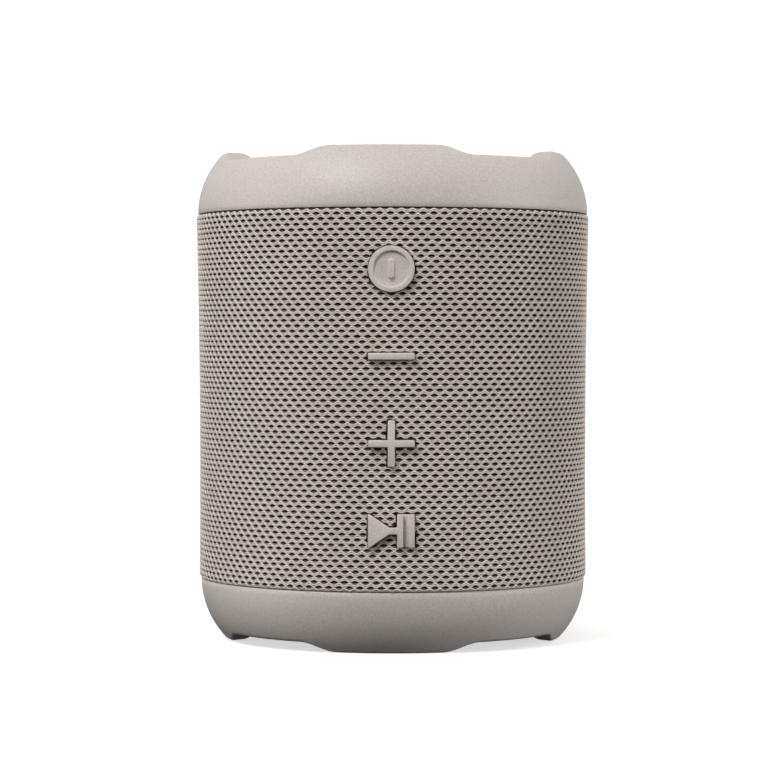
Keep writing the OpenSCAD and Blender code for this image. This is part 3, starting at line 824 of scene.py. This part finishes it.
def wrap(obj, first_angle):
    """Lays a flat stretch of knit round the barrel, and stores how far each corner stands out, which sets
    its painted shade.
    """
    s = sizes()
    place = corners(obj)
    along, depth, up = place.T
    pitch = math.tau / s.columns
    width = pitch * s.waist_radius
    z = np.clip(HEIGHT - s.cap_height + up, s.cap_height, HEIGHT - s.cap_height)
    angle = first_angle + (along + s.knit_lean * (z - HEIGHT / 2)) / width * pitch
    radius = knit_radius(z) - depth
    place = np.stack([radius * np.sin(angle), -radius * np.cos(angle), z], 1)
    obj.data.vertices.foreach_set("co", place.astype(np.float32).ravel())
    # A share of 1 gets the lit yarn colour and 0 the painted shade colour
    painted_light_share = obj.data.attributes.new("painted_light_share", "FLOAT", "POINT")
    unshaded_depth, fully_shaded_depth = PAINTED_SHADE_DEPTHS
    share = np.clip((fully_shaded_depth - depth) / (fully_shaded_depth - unshaded_depth), 0, 1)
    painted_light_share.data.foreach_set("value", share.astype(np.float32))
    obj.data.update()


def key_middle(node):
    """The height of a key's middle."""
    low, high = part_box(node)
    return (low.z + high.z) / 2


def cut_corners(obj):
    """Which corners lie where the knit is cut away: the keys in front, the port behind."""
    s = sizes()
    gap = s.knit_margin
    half, bar = s.key_width / 2 + gap, s.key_bar / 2 + gap
    x, y, z = corners(obj).T
    wide = np.abs(x)
    power = np.hypot(x, z - key_middle("power_key")) < half
    up = np.abs(z - key_middle("minus_key"))
    minus = (wide < half) & (up < bar)
    up = np.abs(z - key_middle("plus_key"))
    plus = ((wide < half) & (up < bar)) | ((up < half) & (wide < bar))
    up = np.abs(z - key_middle("play_key"))
    along = x + s.key_width / 2
    slope = (PLAY_HALF + gap * 1.2) * (1 - along / (PLAY_LONG + gap * 2))
    play = (along > -gap) & (up < slope)
    middle, half_wide, half_high = PAUSE_BLOCK
    play |= (np.abs(x - middle) < half_wide + gap) & (up < half_high + gap)
    link_wide, link_high = PLAY_LINK
    play |= (wide < link_wide) & (up < link_high + gap)
    low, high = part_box("port_bezel")
    middle, side = (low + high) / 2, (high - low) / 2
    port_x = np.maximum(np.abs(x - middle.x) - side.x + PORT_CORNER, 0)
    port_z = np.maximum(np.abs(z - middle.z) - side.z + PORT_CORNER, 0)
    port = np.hypot(port_x, port_z) < PORT_CORNER + gap
    return ((y < 0) & (power | minus | plus | play)) | ((y > 0) & port)


class SPEAKER_OT_knit(bpy.types.Operator):
    """Knit the sleeve over its dark backing"""

    bl_idname = "speaker.knit"
    bl_label = "Knit sleeve"

    def execute(self, context):
        s = sizes()
        backing = merged_copy("fabric_sleeve")
        with editing(backing):
            pick(backing, lambda v: math.hypot(v.co.x, v.co.y) > BACKING_CORE)
            bpy.ops.transform.resize(
                value=(BACKING_SHRINK, BACKING_SHRINK, 1), center_override=(0, 0, 0)
            )
            tidy_faces()
        settle(backing, "knit_backing", "knit_fabric", "housing", finishes()["backing"])
        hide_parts("fabric_sleeve")

        tall = HEIGHT - 2 * s.cap_height
        width = math.tau / s.columns * s.waist_radius
        course = tall / s.courses
        per_piece = s.columns // s.knit_pieces
        flat = one_stitch(width, course)
        apply_modifier(
            flat,
            "ARRAY",
            count=per_piece,
            use_relative_offset=False,
            use_constant_offset=True,
            constant_offset_displace=(width, 0, 0),
            use_merge_vertices=True,
            merge_threshold=DOUBLE,
        )
        apply_modifier(
            flat,
            "ARRAY",
            count=s.courses,
            use_relative_offset=False,
            use_constant_offset=True,
            constant_offset_displace=(0, 0, -course),
        )
        for i in range(s.knit_pieces):
            piece = flat.copy()
            piece.data = flat.data.copy()
            context.scene.collection.objects.link(piece)
            wrap(piece, math.tau * (i - 0.5) / s.knit_pieces)
            cut = cut_corners(piece)
            with editing(piece):
                pick(piece, lambda v: cut[v.index])
                bpy.ops.mesh.delete(type="VERT")
                bpy.ops.mesh.select_all(action="SELECT")
                bpy.ops.mesh.fill_holes(sides=0)
            settle(piece, f"knit_{i + 1}", "knit_fabric", "housing", smooth=math.pi)
        bpy.data.objects.remove(flat)
        return {"FINISHED"}


# ---- Moulded parts with softened edges ----

# The width of each part's rounded edges, in mm
SOFTENED = {
    "power_key": 0.22,
    "minus_key": 0.22,
    "plus_key": 0.22,
    "play_key": 0.22,
    "port_bezel": 0.3,
    "port_door": 0.3,
    "top_radiator_frame": 0.25,
    "bottom_radiator_frame": 0.25,
    "top_disc": 0.2,
    "bottom_disc": 0.2,
    "driver_gaskets": 0.2,
    "end_gaskets": 0.15,
}


class SPEAKER_OT_moulded(bpy.types.Operator):
    """Round the edges of the keys, the port and the radiators"""

    bl_idname = "speaker.moulded"
    bl_label = "Moulded parts"

    def execute(self, context):
        for node, width in SOFTENED.items():
            obj = merged_copy(node)
            apply_modifier(
                obj,
                "BEVEL",
                width=width * MM,
                segments=3,
                limit_method="ANGLE",
                angle_limit=math.radians(40),
                use_clamp_overlap=True,
                harden_normals=False,
            )
            settle(obj, node + "_softened", SLOT_OF[node], body_of(node))
            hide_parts(node)
        return {"FINISHED"}


# ---- Rubber surrounds ----

# Radius of the roll's middle, its own outer radius, its thickness and its feet's width
RADIATOR_ROLL = (22 * MM, 2.5 * MM, 0.5 * MM, 2.2 * MM)
DRIVER_ROLL = (18.8 * MM, 1.3 * MM, 0.4 * MM, 1.2 * MM)
RADIATOR_SECTORS, DRIVER_SECTORS = 24, 12
ROLL_STEPS = 12  # steps over the roll
SECTOR_STEPS = 5  # steps round a sector


def surround_section(roll_at, outer, thick, foot):
    """Section of a half roll and its two glued feet, as (radius, height) pairs."""
    falling = [1 - i / ROLL_STEPS for i in range(ROLL_STEPS + 1)]
    arc = [math.pi * share for share in falling]
    lift = math.asin(thick / outer)
    top = [lift + (math.pi - 2 * lift) * share for share in falling]
    points = [(roll_at - outer - foot + thick, 0.1 * thick)]
    points += [(roll_at - outer - foot + thick, 0.8 * thick)]
    points += [(roll_at - outer - foot + 1.3 * thick, thick)]
    points += [(roll_at + outer * math.cos(a), outer * math.sin(a)) for a in top]
    points += [(roll_at + outer + foot - 1.3 * thick, thick)]
    points += [(roll_at + outer + foot - thick, 0.8 * thick)]
    points += [(roll_at + outer + foot - thick, 0.1 * thick)]
    inner = outer - thick
    points += [(roll_at + inner * math.cos(a), inner * math.sin(a)) for a in reversed(arc)]
    return points


class SPEAKER_OT_surrounds(bpy.types.Operator):
    """Roll the rubber surrounds of the radiators and the drivers"""

    bl_idname = "speaker.surrounds"
    bl_label = "Surrounds"

    def execute(self, context):
        up, side = Vector((0, 0, 1)), Vector((1, 0, 0))
        ends = (
            ("top_surround", "top_radiator", up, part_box("top_surround")[0].z),
            ("bottom_surround", "bottom_radiator", -up, -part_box("bottom_surround")[1].z),
            ("right_surround", "right_diaphragm", side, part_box("right_surround")[0].x),
            ("left_surround", "left_diaphragm", -side, -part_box("left_surround")[1].x),
        )
        for node, moving, axis, seat in ends:
            lift = 0 if axis.z else HEIGHT / 2
            shape = RADIATOR_ROLL if axis.z else DRIVER_ROLL
            count = RADIATOR_SECTORS if axis.z else DRIVER_SECTORS
            roll_at, outer, thick, _ = shape
            across = Vector((1, 0, 0)) if axis.z else Vector((0, 0, 1))
            origin = Vector((0, 0, lift))
            for i in range(count):
                turn = math.tau / count
                start = across.copy()
                start.rotate(Quaternion(axis, turn * (i - 0.5)))
                points = [
                    origin + start * radius + axis * (seat + height)
                    for radius, height in surround_section(*shape)
                ]
                obj = lathe(points, SECTOR_STEPS, turn, axis, origin)
                settle(obj, f"{node}_{i + 1}", "rubber")
                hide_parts(node)
                # Spin turns clockwise, so the sector's direction comes from its own mesh
                places = [v.co for v in obj.data.vertices]
                mid = sum(places, Vector()) / len(places) - origin
                mid = (mid - axis * mid.dot(axis)).normalized()
                inner_r = roll_at - outer + thick
                outer_r = (roll_at + outer - thick) * math.cos(turn / 2)
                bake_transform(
                    obj,
                    moving,
                    "housing",
                    start=origin + mid * inner_r + axis * seat,
                    end=origin + mid * outer_r + axis * seat,
                )
        return {"FINISHED"}


# ---- Everything that keeps its CAD shape ----


class SPEAKER_OT_finishes(bpy.types.Operator):
    """Give every CAD part that still shows the finish of its slot"""

    bl_idname = "speaker.finishes"
    bl_label = "Finishes"

    def execute(self, context):
        for node, obj in frame["nodes"].items():
            if obj.hide_render:
                continue
            obj.data.materials.clear()
            obj.data.materials.append(finishes()[SLOT_OF[node]])
        return {"FINISHED"}


# ---- Stage ----


AIM = (0, 0, HEIGHT / 2)
CAMERA_PLACE = (0.0038, -0.625, 0.06665)
CAMERA_LOOKS_AT = (-0.0019, 0, 0.05555)
CAMERA_LENS = 132.6  # mm, on a sensor 36 mm wide
NEAR_FLOOR, FAR_FLOOR = 0.034, 0.085  # where the floor begins and ends its fade to white
HORIZON_FADE = (-0.12, -0.005)  # the world brightens between these heights
WORLD_LEVELS = (0.03, 0.56)  # its strength below and above them
# Each light's name, place, size and power
LIGHTS = (
    ("key_light", (-0.42, -0.62, 0.8), 0.22, 7.3),
    ("left_light", (-0.85, -0.2, 0.1), 0.4, 2.2),
    ("right_light", (0.85, -0.2, 0.1), 0.4, 4.6),
)


def grey(level):
    return (level, level, level)


def turn_to(obj, target):
    """Turns a light or the camera to look at a point."""
    aim = Vector(target) - obj.location
    obj.rotation_euler = aim.to_track_quat("-Z", "Y").to_euler()


def soft_light(name, place, size, power):
    deselect()
    bpy.ops.object.light_add(type="AREA", location=place)
    light = bpy.context.object
    light.name = name
    light.data.shape = "DISK"
    light.data.size = size
    light.data.energy = power
    turn_to(light, AIM)


class SPEAKER_OT_stage(bpy.types.Operator):
    """Set up the floor, the soft lights and the camera"""

    bl_idname = "speaker.stage"
    bl_label = "Stage"

    def execute(self, context):
        deselect()
        bpy.ops.mesh.primitive_plane_add(size=30)
        floor = bpy.context.object
        floor.name = "floor"
        paper = Finish("paper")
        x, y, _ = paper.axes()
        away = ((x * x + y * y) ** 0.5).step(NEAR_FLOOR, FAR_FLOOR)
        paper.set(
            Base_Color=paper.mix(away, grey(0.52), grey(0.1)),
            Roughness=paper.noise(40) * 0.1 + 0.85,
            Emission_Color=paper.mix(away, grey(0.62), grey(1.1)),
            Emission_Strength=1.0,
        )
        floor.data.materials.append(paper.material)
        deselect()
        bpy.ops.mesh.primitive_uv_sphere_add(segments=48, ring_count=24, radius=14)
        backdrop = bpy.context.object
        backdrop.name = "backdrop"
        white = Finish("backdrop_white")
        white.set(
            Base_Color=grey(0),
            Roughness=1.0,
            Emission_Color=grey(1),
            Emission_Strength=1.05,
        )
        backdrop.data.materials.append(white.material)
        for thing in (floor, backdrop):
            thing.visible_diffuse = False
            thing.visible_glossy = False
            thing.visible_transmission = False
        backdrop.visible_shadow = False

        scene = context.scene
        scene.view_settings.view_transform = "Standard"
        studio = Finish("studio", "worlds", "Background")
        way = studio.node("ShaderNodeTexCoord", output="Generated")
        height = studio.node("ShaderNodeSeparateXYZ", {}, {0: way}, "Z")
        studio.set(Color=grey(1), Strength=height.step(*HORIZON_FADE, *WORLD_LEVELS))
        scene.world = studio.material
        for light in LIGHTS:
            soft_light(*light)

        deselect()
        bpy.ops.object.camera_add(location=CAMERA_PLACE)
        camera = bpy.context.object
        camera.name = "camera"
        turn_to(camera, CAMERA_LOOKS_AT)
        camera.data.sensor_width = 36
        camera.data.lens = CAMERA_LENS
        camera.data.clip_start = 0.01
        camera.data.clip_end = 50
        scene.camera = camera
        return {"FINISHED"}


# ---- Panel and registration ----

STEPS = (
    SPEAKER_OT_caps,
    SPEAKER_OT_knit,
    SPEAKER_OT_moulded,
    SPEAKER_OT_surrounds,
    SPEAKER_OT_finishes,
    SPEAKER_OT_stage,
)


class SPEAKER_PT_panel(bpy.types.Panel):
    """The speaker's steps, sizes and colours"""

    bl_idname = "SPEAKER_PT_panel"
    bl_label = "Portable Speaker"
    bl_space_type = "VIEW_3D"
    bl_region_type = "UI"
    bl_category = "Speaker"

    def draw(self, context):
        layout = self.layout
        for step in STEPS:
            layout.operator(step.bl_idname)
        for group in (context.scene.speaker_sizes, context.scene.speaker_colours):
            for name in group.__annotations__:
                layout.prop(group, name)


CLASSES = (SpeakerSizes, SpeakerColours, *STEPS, SPEAKER_PT_panel)


def register():
    for item in CLASSES:
        bpy.utils.register_class(item)
    bpy.types.Scene.speaker_sizes = PointerProperty(type=SpeakerSizes)
    bpy.types.Scene.speaker_colours = PointerProperty(type=SpeakerColours)


def unregister():
    del bpy.types.Scene.speaker_colours
    del bpy.types.Scene.speaker_sizes
    for item in reversed(CLASSES):
        bpy.utils.unregister_class(item)


def main():
    register()
    for step in STEPS:
        group, name = step.bl_idname.split(".")
        getattr(getattr(bpy.ops, group), name)()


if __name__ == "__main__":
    main()
